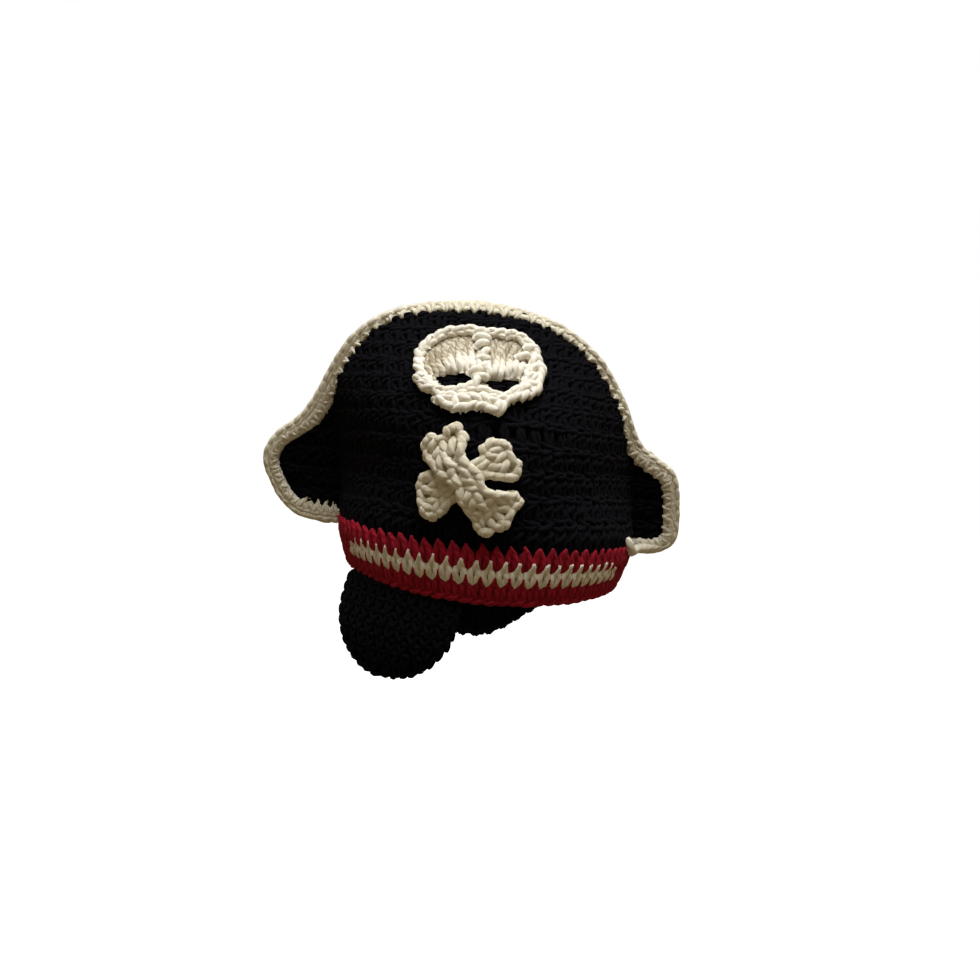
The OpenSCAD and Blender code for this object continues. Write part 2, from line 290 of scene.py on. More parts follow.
def ellipse_place(a, b, angle, out, z):
    """Points outside the ellipse with half axes a and b, at the angle in degrees."""
    c, s = np.cos(np.radians(angle)), np.sin(np.radians(angle))
    n = unit(joined(c / a, s / b))
    return joined(a * c + out * n[..., 0], b * s + out * n[..., 1], z)


class Ring:
    """An ellipse's rim unrolled to s, the way round from its frontmost point."""

    def __init__(self, a, b):
        self.angle = np.arange(-90, 271, 1.0)
        turn = np.radians(self.angle)
        self.s = run(a * np.cos(turn), b * np.sin(turn))
        self.length = float(self.s[-1])

    def angle_at(self, s):
        return np.interp(np.mod(s, self.length), self.s, self.angle)


band_ring = Ring(OPENING_A, OPENING_B)
strap_ring = Ring(STRAP_A, STRAP_B)


def on_band(szh):
    """Points above the band's inner face, from (s round it, z, height)."""
    z = szh[..., 1]
    curl = -BAND_CURL * np.maximum(1 - z / BAND_H, 0) ** 1.3
    angle = band_ring.angle_at(szh[..., 0])
    lift = BAND_SIDE_LIFT * np.cos(np.radians(angle)) ** 2 * np.maximum(1 - z / BAND_H, 0)
    return ellipse_place(OPENING_A, OPENING_B, angle, curl + szh[..., 2], z + lift)


def on_strap(szh):
    """Points above the strap's inner face, from (s round it, height from its middle, height)."""
    angle = strap_ring.angle_at(szh[..., 0])
    turned = np.mod(angle, 360)
    low = smooth((turned - 190) / 30) * smooth((303 - turned) / 33)
    z = STRAP_HIGH_Z + (STRAP_LOW_Z - STRAP_HIGH_Z) * low + szh[..., 1]
    return ellipse_place(STRAP_A, STRAP_B, angle, szh[..., 2] - STRAP_T, z)


def on_patch(sth):
    """Points above the eye patch's inner face, from (-1..1 across, 0..1 down, height)."""
    s, t = sth[..., 0], np.clip(sth[..., 1], 0, 1)
    reach = PATCH_HALF_ANGLE * np.sqrt(np.maximum(1 - t**2.4, 0))
    lift = (PATCH_STAND_OFF + PATCH_SIDE_LIFT * (1 - s) / 2
            + PATCH_DOME * np.sin(np.radians(150 * t)))
    angle = PATCH_ANGLE + s * reach
    z = PATCH_TOP_Z + PATCH_TEMPLE_RISE * (1 - s) / 2 * (1 - t) - PATCH_H * sth[..., 1]
    return ellipse_place(STRAP_A, STRAP_B, angle, lift + sth[..., 2], z)


# ---- yarn
# Turn of the plies round a strand, in radians per millimetre
TWIST = 0.42
# Unevenness of a strand's surface, as a share of its radius
ROUGHNESS = 0.035


def add_object(name, data):
    made = bpy.data.objects.new(name, data)
    bpy.context.scene.collection.objects.link(made)
    return made


class Yarn:
    """Strands of one piece, gathered and then made into one mesh."""

    def __init__(self, name, sides, seed, lobes=0.0):
        self.name, self.sides, self.lobes = name, sides, lobes
        self.random = np.random.default_rng(seed)
        self.points, self.faces, self.yarn, self.tone, self.shade = [], [], [], [], []
        self.count = 0

    def add(self, points, radius, steps=2, shade=0.0):
        """Adds strands through points[strand, k], in millimetres.

        radius and shade, how far the yarn is darkened as painted shade, are one or one for each k.
        """
        points = np.asarray(points, float)
        strands, count = points.shape[:2]
        r, painted_darkening = (np.broadcast_to(np.asarray(g, float), (strands, count))[..., None]
                   for g in (radius, shade))
        shaped = refine(np.concatenate([points, r, painted_darkening], axis=2), steps)
        p, r, painted_darkening = shaped[..., :3], np.maximum(shaped[..., 3], 0.2), shaped[..., 4]
        rings = p.shape[1]
        tangent = unit(np.gradient(p, axis=1))
        hint = np.where(np.abs(tangent[:, 0, 2:]) > 0.8, [[1.0, 0, 0]], [[0, 0, 1.0]])
        u = np.empty_like(p)
        for k in range(rings):
            hint = unit(hint - (hint * tangent[:, k]).sum(1, keepdims=True) * tangent[:, k])
            u[:, k] = hint
        v = np.cross(tangent, u)
        step = np.linalg.norm(np.diff(p, axis=1), axis=2)
        length = np.concatenate([np.zeros((strands, 1)), np.cumsum(step, axis=1)], axis=1)
        length += self.random.uniform(0, 40, (strands, 1))
        theta = np.arange(self.sides) * 2 * math.pi / self.sides
        c, s = np.cos(theta)[None, None, :, None], np.sin(theta)[None, None, :, None]
        wave = np.cos(3 * (theta[None, None] + TWIST * length[..., None]))
        rough = self.random.normal(0, ROUGHNESS, (strands, rings, self.sides))
        rr = (r[..., None] * (1 + self.lobes * wave + rough))[..., None]
        ring = p[:, :, None] + rr * (c * u[:, :, None] + s * v[:, :, None])
        self.points.append(ring.reshape(-1, 3))
        self.yarn.append(joined(length[..., None], c[..., 0], s[..., 0]).reshape(-1, 3))
        tone = self.random.uniform(0, 1, (strands, 1))
        self.tone.append(np.repeat(tone, rings * self.sides, axis=1).ravel())
        self.shade.append(np.repeat(painted_darkening, self.sides, axis=1).ravel())
        i = np.arange(strands)[:, None, None] * rings * self.sides
        j = np.arange(rings - 1)[None, :, None] * self.sides
        k = np.arange(self.sides)[None, None]
        k2 = (k + 1) % self.sides
        corner = i + j
        quads = joined(corner + k, corner + k2, corner + self.sides + k2,
                       corner + self.sides + k).reshape(-1, 4)
        start = (i[:, 0] + k[0, ::-1]) + self.count
        end = (i[:, 0] + (rings - 1) * self.sides + k[0]) + self.count
        self.faces.append((quads + self.count, np.concatenate([start, end])))
        self.count += strands * rings * self.sides

    def lay(self, place, spots, template, radius, turn=0.0, scale=1.0, lift=1.0,
            jitter=0.25, sway=0.06):
        """Lays a template of (along, across, height) points at each spot of a surface."""
        spots = np.asarray(spots, float)
        t = np.tile(np.asarray(template, float), (len(spots), 1, 1))
        scale = np.broadcast_to(scale, (len(spots),))[:, None]
        size = scale * (1 + self.random.normal(0, 0.04, (len(spots), 1)))
        angle = self.random.normal(0, sway, len(spots)) + turn
        c, s = np.cos(angle)[:, None], np.sin(angle)[:, None]
        a, b = t[..., 0] * size, t[..., 1] * size
        t[..., 0] = a * c - b * s + spots[:, :1]
        t[..., 1] = a * s + b * c + spots[:, 1:2]
        t[..., 2] *= np.broadcast_to(lift, (len(spots),))[:, None]
        t += self.random.normal(0, jitter, (len(spots), 1, 3)) * [1, 1, 0.5]
        t += self.random.normal(0, jitter * 0.4, t.shape)
        self.add(place(t), radius)

    def make(self):
        quads = np.concatenate([f[0] for f in self.faces])
        caps = np.concatenate([f[1] for f in self.faces])
        points = np.concatenate(self.points) * MM
        mesh = bpy.data.meshes.new(self.name)
        mesh.vertices.add(len(points))
        mesh.vertices.foreach_set("co", points.astype(np.float32).ravel())
        mesh.loops.add(quads.size + caps.size)
        loops = np.concatenate([quads.ravel(), caps.ravel()])
        mesh.loops.foreach_set("vertex_index", loops.astype(np.int32))
        mesh.polygons.add(len(quads) + len(caps))
        start = np.concatenate([np.arange(len(quads)) * 4,
                                quads.size + np.arange(len(caps)) * self.sides])
        mesh.polygons.foreach_set("loop_start", start.astype(np.int32))
        mesh.update(calc_edges=True)
        mesh.validate()
        way = mesh.attributes.new("yarn", "FLOAT_VECTOR", "POINT")
        way.data.foreach_set("vector", np.concatenate(self.yarn).astype(np.float32).ravel())
        for label, values in (("tone", self.tone), ("shade", self.shade)):
            kept = mesh.attributes.new(label, "FLOAT", "POINT")
            kept.data.foreach_set("value", np.concatenate(values).astype(np.float32))
        mesh.shade_smooth()
        return add_object(self.name, mesh)


def mirrored(template):
    return [[-a, b, h] for a, b, h in template]


def closed_sheet(name, outer, inner, keep=None):
    """Thin closed sheet between two grids of points, with all cells or those that keep says."""
    rows, cols = outer.shape[:2]
    keep = np.ones((rows - 1, cols - 1), bool) if keep is None else keep
    number = np.arange(rows * cols).reshape(rows, cols)
    cells = joined(number[:-1, :-1], number[:-1, 1:], number[1:, 1:], number[1:, :-1])[keep]
    edges = joined(cells, np.roll(cells, -1, axis=1)).reshape(-1, 2)
    key = np.sort(edges, axis=1) @ np.array([rows * cols, 1])
    _, index, seen = np.unique(key, return_index=True, return_counts=True)
    rim = edges[index[seen == 1]]
    lower = rows * cols
    walls = joined(rim[:, 1], rim[:, 0], rim[:, 0] + lower, rim[:, 1] + lower)
    faces = np.concatenate([cells, cells[:, ::-1] + lower, walls])
    points = np.concatenate([outer.reshape(-1, 3), inner.reshape(-1, 3)]) * MM
    used, faces = np.unique(faces, return_inverse=True)
    mesh = bpy.data.meshes.new(name)
    mesh.from_pydata(points[used].tolist(), [], faces.reshape(-1, 4).tolist())
    mesh.validate()
    mesh.shade_smooth()
    return add_object(name, mesh)


def cloth(name, place, grid, heights, keep=None):
    """Closed sheet over a grid on a surface, between an outer and an inner height."""
    outer, inner = (place(joined(grid[..., 0], grid[..., 1], h)) for h in heights)
    return closed_sheet(name, outer, inner, keep)


def ring_cloth(name, place, length, ups, heights):
    """Closed sheet all the way round the band or the strap."""
    return cloth(name, place, net(np.linspace(0, length, 181), ups), heights)


# ---- materials
def add_node(tree, kind, inputs, **settings):
    made = tree.nodes.new("ShaderNode" + kind)
    for key, value in settings.items():
        setattr(made, key, value)
    for socket, value in inputs.items():
        if isinstance(value, bpy.types.NodeSocket):
            tree.links.new(value, made.inputs[socket])
        else:
            made.inputs[socket].default_value = value
    return made


def calc(tree, operation, *values):
    made = add_node(tree, "Math", dict(enumerate(values)), operation=operation)
    return made.outputs[0]


def new_material(name):
    material = bpy.data.materials.new(name)
    material.use_nodes = True
    material.node_tree.nodes.clear()
    return material


def blend(tree, amount, deep, pale):
    made = add_node(tree, "ValToRGB", {"Fac": amount})
    made.color_ramp.elements[0].color = (*deep, 1)
    made.color_ramp.elements[1].color = (*pale, 1)
    return made


def cover(tree, colour, height, depth, bump, inputs):
    """The shader and output, with relief of the depth in metres."""
    relief = add_node(tree, "Bump", {"Height": height, "Distance": depth, "Strength": bump})
    inputs = {"Base Color": colour.outputs["Color"], "Normal": relief.outputs["Normal"], **inputs}
    shader = add_node(tree, "BsdfPrincipled", inputs)
    add_node(tree, "OutputMaterial", {"Surface": shader.outputs["BSDF"]})


def yarn_material(name, deep, pale, sheen, sheen_colour, bump=0.7, shine=0.2, painted_shade_colour=None):
    """Plied acrylic yarn: twisted plies, fine fibres along them, and a soft halo.

    The last colour, if given, is that of yarn darkened by the shade attribute: painted shade in
    hollows.
    """
    material = new_material(name)
    tree = material.node_tree
    way, tone, shade = (add_node(tree, "Attribute", {}, attribute_name=label)
                        for label in ("yarn", "tone", "shade"))
    part = add_node(tree, "SeparateXYZ", {0: way.outputs["Vector"]}).outputs
    angle = calc(tree, "ARCTAN2", part["Z"], part["Y"])
    turned = calc(tree, "MULTIPLY_ADD", part["X"], TWIST, angle)
    wave = calc(tree, "COSINE", calc(tree, "MULTIPLY", turned, 3.0))
    ply = calc(tree, "MULTIPLY_ADD", wave, 0.5, 0.5)
    along = calc(tree, "MULTIPLY_ADD", tone.outputs["Fac"], 97.0,
                 calc(tree, "MULTIPLY", part["X"], 0.22))
    round_y = calc(tree, "MULTIPLY", calc(tree, "COSINE", turned), 1.7)
    round_z = calc(tree, "MULTIPLY", calc(tree, "SINE", turned), 1.7)
    spot = add_node(tree, "CombineXYZ", {0: along, 1: round_y, 2: round_z})
    fibre = add_node(tree, "TexNoise",
                     {"Vector": spot.outputs[0], "Scale": 2.6, "Detail": 3.0,
                      "Roughness": 0.65}).outputs["Fac"]
    place = add_node(tree, "TexCoord", {})
    drift = add_node(tree, "TexNoise",
                     {"Vector": place.outputs["Object"], "Scale": 55.0,
                      "Detail": 2.0}).outputs["Fac"]
    # The plies set the colour as well as the relief: the grooves between them are darker, as painted
    # shade.
    mixed = calc(tree, "MULTIPLY_ADD", ply, 0.35, calc(tree, "MULTIPLY", fibre, 0.75))
    mixed = calc(tree, "MULTIPLY_ADD", tone.outputs["Fac"], 0.22, mixed)
    mixed = calc(tree, "MULTIPLY_ADD", drift, 0.3, mixed)
    # The shade attribute darkens the colour: painted shade in hollows.
    mixed = calc(tree, "SUBTRACT", mixed, shade.outputs["Fac"])
    ramp = blend(tree, mixed, deep, pale)
    ramp.color_ramp.elements[0].position = 0.38
    # Yarn darkened by the shade attribute goes towards this colour: painted shade.
    if painted_shade_colour:
        ramp.color_ramp.elements.new(0.0).color = (*painted_shade_colour, 1)
    height = calc(tree, "MULTIPLY_ADD", ply, 0.6, calc(tree, "MULTIPLY", fibre, 0.7))
    cover(tree, ramp, height, 0.0005, bump,
          {"Roughness": 0.85, "Specular IOR Level": shine, "Sheen Weight": sheen,
           "Sheen Roughness": 0.45, "Sheen Tint": (*sheen_colour, 1)})
    return material


def ground_material(name, deep, pale):
    """Packed loops between the stitches, seen as close fuzzy ribs, coloured darker than the yarn and
    darker in the ribs' troughs, as painted shade.
    """
    material = new_material(name)
    tree = material.node_tree
    place = add_node(tree, "TexCoord", {}).outputs["Object"]
    ribs = add_node(tree, "TexWave",
                    {"Vector": place, "Scale": 90.0, "Distortion": 6.0, "Detail": 2.0,
                     "Detail Scale": 3.0}, bands_direction="DIAGONAL").outputs["Fac"]
    fuzz = add_node(tree, "TexNoise",
                    {"Vector": place, "Scale": 900.0, "Detail": 4.0}).outputs["Fac"]
    height = calc(tree, "MULTIPLY_ADD", fuzz, 0.5, ribs)
    ramp = blend(tree, calc(tree, "MULTIPLY", height, 0.6), deep, pale)
    cover(tree, ramp, height, 0.0008, 0.8, {"Roughness": 0.95, "Specular IOR Level": 0.1})
    return material


BLACK = yarn_material("black_yarn", (0.0004, 0.0003, 0.0010), (0.0031, 0.0026, 0.0047),
                      0.009, (0.7, 0.7, 0.75), shine=0.06)
# The white yarn's last colour is painted shade, for the hollows of the skull's face.
WHITE = yarn_material("white_yarn", (0.72, 0.65, 0.52), (0.90, 0.86, 0.76),
                      0.22, (1.0, 0.98, 0.94), bump=0.55, painted_shade_colour=(0.30, 0.24, 0.15))
# A darker, warmer copy of the white yarn: painted shade on the edging, the band's white round and
# the bones.
SHADED_WHITE = yarn_material("white_yarn_painted_shade", (0.52, 0.45, 0.31), (0.76, 0.71, 0.58),
                      0.20, (1.0, 0.96, 0.9), bump=0.55)
RED = yarn_material("red_yarn", (0.14, 0.003, 0.009), (0.34, 0.011, 0.028),
                    0.06, (1.0, 0.4, 0.4), shine=0.08)
# The ground colours are darker than the yarn colours: painted shade between the stitches.
BLACK_GROUND = ground_material("black_ground", (0.0004, 0.0004, 0.0008), (0.002, 0.002, 0.0024))
WHITE_GROUND = ground_material("white_ground", (0.42, 0.37, 0.28), (0.66, 0.60, 0.48))
RED_GROUND = ground_material("red_ground", (0.05, 0.0015, 0.004), (0.14, 0.006, 0.012))


def dress(piece, material, slot, *nodes, body="hat"):
    piece.data.materials.append(material)
    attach(piece, body)
    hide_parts(*nodes)
    return piece


# ---- camera
CAMERA_PLACE = (0.00035, -0.5699, 0.0824)
LOOKS_DOWN = 3.46
ROLL = 5.7
camera_data = bpy.data.cameras.new("camera")
camera_data.lens = 37.39
camera_data.sensor_width = 36.0
camera = add_object("camera", camera_data)
camera.matrix_world = (Matrix.Translation(CAMERA_PLACE)
                       @ Matrix.Rotation(math.radians(90 - LOOKS_DOWN), 4, "X")
                       @ Matrix.Rotation(math.radians(ROLL), 4, "Z"))
bpy.context.scene.camera = camera


# ---- crown
# Height of a row, width of a stitch, and what a row leaves free at each end
ROW = 11.7
PITCH = 7.4
ROW_END = 1.5
front = Panel(-1)
back = Panel(1)
slit_spots = np.array([front.find(x, z) for x, z in SLITS])

POST = [[-1.0, -1.6, 1.4], [-1.7, 1.4, 2.3], [-1.9, 4.8, 2.7], [-1.5, 8.0, 2.6], [-0.7, 10.6, 2.0]]
WRAP = [[-3.3, 4.2, 1.8], [-1.3, 5.3, 3.4], [1.4, 6.9, 3.5], [3.4, 8.2, 1.9]]
CHAIN_FRONT = [[-4.5, 9.8, 2.1], [-2.2, 8.9, 3.2], [0.6, 9.3, 3.5], [3.5, 10.9, 2.4]]
CHAIN_BACK = [[-3.8, 12.0, 1.7], [-1.0, 11.6, 3.0], [2.0, 10.9, 3.1], [4.3, 10.2, 1.9]]


def crown_rows(panel, first):
    """Start, height share and stitch positions of each row of a panel, from the band up."""
    starts = np.arange(first, panel.top - 3, ROW)
    if first > 4:
        starts = np.append(0, starts)
    else:
        starts[0] = 0
    for v, following in zip(starts, np.append(starts[1:], panel.top)):
        low, high = panel.ends((v + following) / 2)
        width = high - low - 2 * ROW_END
        count = max(int(round(width / PITCH)), 1)
        s = low + ROW_END + (np.arange(count) + 0.5) * width / count
        yield v, (following - v) / ROW, s, low, high


def crown_stitches(node, panel, first, seed, slits=()):
    yarn = Yarn(node + "_stitches", 6, seed)
    for v, height, s, low, high in crown_rows(panel, first):
        spots = joined(s, v)
        near_edge = np.minimum(s - low, high - s)
        lift = 0.62 + 0.38 * smooth((near_edge - 3) / 9)
        closed = np.ones(len(s), bool)
        if len(slits) and abs(slits[:, 1].mean() - v - ROW / 2) < ROW / 2:
            closed = np.abs(s[:, None] - slits[None, :, 0]).min(axis=1) > PITCH * 0.8
            middle = (slits[1:, 0] + slits[:-1, 0]) / 2
            posts = np.concatenate([[slits[0, 0] - 4.1], middle, [slits[-1, 0] + 4.1]])
            posts = joined(posts, v)
            narrow = [[a * 0.6, b, h] for a, b, h in POST]
            for template in (narrow, mirrored(narrow)):
                yarn.lay(panel.place_inside, posts, template, 1.55, jitter=0.15)
        stretch = [1, height, 1]
        for template, r in ((POST, 1.7), (mirrored(POST), 1.7), (WRAP, 1.45)):
            yarn.lay(panel.place_inside, spots[closed], np.array(template) * stretch, r,
                     lift=lift[closed])
        for template in (CHAIN_FRONT, CHAIN_BACK):
            yarn.lay(panel.place_inside, spots, np.array(template) * stretch, 1.6, lift=lift)
    return dress(yarn.make(), BLACK, "black_yarn", node)


def crown_cloth(node, panel, slits=()):
    v = np.append(np.arange(0, panel.top, 2.0), panel.top)
    ends = np.array([panel.ends(x) for x in v])
    s = ends[:, :1] + (ends[:, 1:] - ends[:, :1]) * np.linspace(0, 1, 151)
    grid = joined(s, v[:, None])
    middle = (grid[:-1, :-1] + grid[1:, 1:]) / 2
    keep = np.ones(middle.shape[:2], bool)
    for slit_s, slit_v in slits:
        keep &= ~((np.abs(middle[..., 0] - slit_s) < 1.5) & (np.abs(middle[..., 1] - slit_v) < 2.4))
    if panel.side > 0:
        grid, keep = grid[:, ::-1], keep[:, ::-1]
    piece = cloth(node + "_cloth", panel.place, grid, (1.7, 0.3), keep)
    return dress(piece, BLACK_GROUND, "black_yarn", node)


front_first = (float(slit_spots[:, 1].mean()) - ROW / 2) % ROW
front_stitches = crown_stitches("front_panel", front, front_first, 11, slit_spots)
front_ground = crown_cloth("front_panel", front, slit_spots)
back_stitches = crown_stitches("back_panel", back, 0.0, 12)
back_ground = crown_cloth("back_panel", back)


# ---- white edging
class Line:
    """A path of points with a normal at each, as a place for stitches along it."""

    def __init__(self, points, normals, closed=False, softened=0):
        step = np.linalg.norm(np.diff(points, axis=0), axis=1)
        s = np.concatenate([[0], np.cumsum(step)])
        self.length = float(s[-1])
        self.s = np.arange(-12, self.length + 12, 0.8)
        at = np.mod(self.s, self.length) if closed else np.clip(self.s, 0, self.length)
        p, n = between(at, s, points), between(at, s, normals)
        for _ in range(softened):
            p[1:-1] = (p[:-2] + 2 * p[1:-1] + p[2:]) / 4
        inside = (self.s > 1) & (self.s < self.length - 1)
        t = np.gradient(p, axis=0)
        if not closed:
            first, last = np.flatnonzero(inside)[[0, -1]]
            t[:first] = t[first]
            t[last:] = t[last]
            p[:first] = p[first] + (self.s[:first] - self.s[first])[:, None] * unit(t[first])
            p[last:] = p[last] + (self.s[last:] - self.s[last])[:, None] * unit(t[last])
        t = unit(t)
        self.n = unit(n - (n * t).sum(1, keepdims=True) * t)
        self.side = unit(np.cross(t, self.n))
        self.p = p

    def at(self, s):
        return [between(s, self.s, g) for g in (self.p, self.side, self.n)]

    def place(self, abc):
        """Points beside the path, from (along it, to its right, along its normal)."""
        p, side, n = self.at(abc[..., 0])
        return p + abc[..., 1:2] * side + abc[..., 2:] * n

    def spots(self, pitch):
        count = max(int(round(self.length / pitch)), 1)
        return joined((np.arange(count) + 0.5) * self.length / count, 0.0)


outline = np.concatenate([left_curve, right_curve[-2::-1]])
outline = joined(outline[:, 0], seam_y(outline[:, 1]), outline[:, 1])
edge = Line(outline, np.tile([0, -1.0, 0], (len(outline), 1)), softened=8)


def beside_edge(side):
    """Place over a panel beside the edge, from (along it, inwards, height over the panel)."""
    def place(abh):
        p, inwards, _ = edge.at(abh[..., 0])
        flat = p + abh[..., 1:2] * inwards
        return on_panel(joined(flat[..., 0], flat[..., 2], abh[..., 2]), side)
    return place


EDGE_PITCH = 6.1
TOP_PITCH = 7.6
EDGE_LEG = [[-2.2, -0.4, 2.6], [-1.9, 1.8, 3.8], [-1.0, 4.0, 4.4], [0.2, 6.2, 4.2]]
LONG_LEG = [[-2.0, -0.4, 2.8], [-1.5, 2.8, 3.9], [-0.4, 6.0, 4.0], [1.2, 9.6, 3.2]]
EDGE_LEG_R = [1.9, 1.9, 1.55, 0.6]
EDGE_LOOP = [[-4.4, -0.5, 3.5], [-1.9, -1.2, 3.9], [1.5, -1.2, 3.4], [4.4, -0.6, 2.4]]
EDGE_TOP = [[-4.2, -1.3, 1.6], [-1.6, -1.6, 0.9], [1.6, -1.6, -0.4], [4.6, -1.3, -1.6]]
edge_spots = [2.0]
while edge_spots[-1] < edge.length - 6:
    height = edge.at(edge_spots[-1])[0][2]
    wide = smooth((height - 112) / 22)
    low = smooth((29 - height) / 2)
    edge_spots.append(edge_spots[-1] + EDGE_PITCH + (TOP_PITCH - EDGE_PITCH) * wide - 1.3 * low)
edge_spots = joined(np.array(edge_spots), 0.0)


def left_slope(s):
    """1 where the edging is broadest, on the slope above the left ear, and 0 elsewhere."""
    x, _, z = edge.at(s)[0].T
    return smooth((z - 72) / 10) * smooth((134 - z) / 16) * (x < 0)


edge_x, _, edge_z = edge.at(edge_spots[:, 0])[0].T
long_ones = (edge_z < 27.5) & (edge_x < 0)
reach = np.where((edge_x < -94) & ~long_ones, 0.84, 1.0) + 0.34 * left_slope(edge_spots[:, 0])
edging = Yarn("white_edging_stitches", 8, 21, lobes=0.03)
ROPE_POINTS = 260
shoulder = np.linspace(-1.0, edge.length + 1.0, ROPE_POINTS)
for panel_side in (-1, 1):
    for chosen, leg in ((~long_ones, EDGE_LEG), (long_ones, LONG_LEG)):
        for template in (leg, mirrored(leg)):
            edging.lay(beside_edge(panel_side), edge_spots[chosen], template, EDGE_LEG_R,
                       scale=reach[chosen], jitter=0.18)
    for inwards, height, r in ((0, 2.9, 2.4), (1.7, 3.2, 2.55), (3.7, 3.0, 2.2)):
        line = joined(shoulder, inwards * (1 + 0.5 * left_slope(shoulder)), height)
        edging.add(beside_edge(panel_side)(line[None]), r, steps=1)
for loop in (EDGE_LOOP, [[a, b, -c] for a, b, c in EDGE_LOOP], EDGE_TOP):
    edging.lay(edge.place, edge_spots, loop, 1.8, jitter=0.12)
core = np.linspace(-2.0, edge.length + 2.0, ROPE_POINTS)
for b, c, r in ((-0.8, 2.4, 2.4), (-0.8, -2.4, 2.4), (-1.3, 0, 2.1)):
    edging.add(edge.place(joined(core, b, c)[None]), r, steps=1)
# The loose end of the edging, which lies along the band's top and turns up beside the ear
turned_up = ellipse_place(OPENING_A, OPENING_B, np.array([-10, -19, -22, -23, -23]),
                          np.array([6.4, 5.9, 5.9, 5.2, 3.8]),
                          np.array([24.4, 24.8, 27, 30, 32.4]))
turned_end = np.concatenate([[[100, -3.6, 26.4], [92, -4.8, 25], [86, -8.5, 24.4]], turned_up])
edging.add([turned_end], [2.0, 2.5, 2.6, 2.6, 2.7, 2.6, 2.2, 1.3])
lower_end = [[[-101, -1.5, 26.4], [-94, -2.5, 23.6], [-88, -3, 23.2], [-84.5, -3.5, 25.6]]]
edging.add(lower_end, [1.6, 2.3, 2.5, 1.9], steps=3)
# The edging uses the darker copy of the white yarn, as painted shade.
edging = dress(edging.make(), SHADED_WHITE, "white_yarn", "white_edging")

# ---- band
BAND_COUNT = 81
RED_LEG = [
    [-0.7, -0.9, 2.0], [-1.7, 0.9, 2.9], [-1.8, 3.7, 3.1], [-1.3, 6.5, 2.7], [-0.4, 8.8, 3.6],
    [0.0, 10.7, 4.5]
]
WHITE_LEG = [
    [-0.4, -1.1, 2.2], [-1.5, 0.9, 3.1], [-1.95, 3.7, 3.3], [-1.1, 6.6, 2.8], [-0.3, 8.8, 3.7],
    [0.0, 10.9, 4.6]
]
BAND_LEG_R = [1.45, 1.75, 1.85, 1.8, 1.4, 0.6]


def at_side(s):
    """How far red covers the white round beside the ears, as far as the front shows."""
    away = np.abs(np.mod(band_ring.angle_at(s), 360) - 270)
    return smooth((away - 52) / 12) * smooth((92 - away) / 12)


def band_spots(offset, up):
    return joined((np.arange(BAND_COUNT) + offset) * (band_ring.length / BAND_COUNT), up)


def band_round(node, base, offset, seed, material, slot, leg, lean, side_growth=0.0):
    """One round of the band. side_growth is how its stitches grow beside the ears."""
    yarn = Yarn(node + "_stitches", 8, seed, lobes=0.03)
    spots = band_spots(offset, base)
    sizes = 1 + side_growth * at_side(spots[:, 0])
    spots, sizes = spots[sizes > 0.4], sizes[sizes > 0.4]
    for template in (leg, mirrored(leg)):
        leaned = [[a + lean * smooth((b - 5) / 6), b, h] for a, b, h in template]
        yarn.lay(on_band, spots, leaned, BAND_LEG_R, scale=sizes, jitter=0.08, sway=0.02)
    return dress(yarn.make(), material, slot, node)


upper_red = band_round("band_upper_red", RIM_H + 2 * ROUND_H, 0.0, 31,
                       RED, "red_yarn", RED_LEG, -0.9)
# The band's white round uses the darker copy of the white yarn, as painted shade.
white_round = band_round("band_white", RIM_H + ROUND_H, 0.5, 32,
                         SHADED_WHITE, "white_yarn", WHITE_LEG, 0.9, side_growth=-0.7)
lower_red = band_round("band_lower_red", RIM_H, 0.0, 33,
                       RED, "red_yarn", RED_LEG, 0.0, side_growth=0.45)
rim = Yarn("band_rim_stitches", 8, 34, lobes=0.03)
RIM_LOOP = [[-4.6, 0.6, 1.8], [-2.0, -0.2, 3.2], [1.6, 0.9, 3.4], [4.4, 2.6, 2.3]]
RIM_UNDER = [[-4.4, 1.6, 0.6], [-1.6, 0.2, 1.0], [1.6, 0.2, 1.4], [4.4, 1.6, 1.4]]
for loop in (RIM_LOOP, RIM_UNDER):
    rim.lay(on_band, band_spots(0, 0.0), loop, 1.5, jitter=0.14)
rim = dress(rim.make(), RED, "red_yarn", "band_rim")
band_ground = dress(ring_cloth("band_cloth", on_band, band_ring.length,
                               np.linspace(0.8, BAND_H + 0.7, 9), (1.8, 0.4)),
                    RED_GROUND, "red_yarn", "band_upper_red", "band_lower_red",
                    "band_rim", "band_white")


# ---- skull
def motif_line(path, place, closed=False):
    """A line over the front panel through (x, z) points."""
    x, z = (closed_spline(path, 4) if closed else spline(path, 6)).T
    flat = joined(x, z, 0.0)
    foot = place(flat)
    return Line(foot, place(flat + [0, 0, 1]) - foot, closed=closed)


def inside(path, points):
    """How far (x, z) points lie inside a closed curve, negative outside it."""
    curve = closed_spline(path, 6)[:-1]
    x, z = points[..., 0], points[..., 1]
    found = np.zeros(x.shape, bool)
    for (x0, z0), (x1, z1) in zip(curve, np.roll(curve, -1, axis=0)):
        if z0 != z1:
            found ^= ((z0 > z) != (z1 > z)) & (x < x0 + (x1 - x0) * (z - z0) / (z1 - z0))
    away = np.linalg.norm(points[..., None, :] - curve, axis=-1).min(axis=-1)
    return np.where(found, away, -away)


def motif_cloth(node, place, path, chosen, heights):
    """Thin cloth under a motif, over the cells of its box that chosen picks."""
    low, high = np.min(path, axis=0) - 1, np.max(path, axis=0) + 2
    grid = net(np.arange(low[0], high[0], 1.25), np.arange(low[1], high[1], 1.25))
    middle = (grid[:-1, :-1] + grid[1:, 1:]) / 2
    piece = cloth(node + "_cloth", place, grid, heights, chosen(middle))
    return dress(piece, WHITE_GROUND, "white_yarn", node)


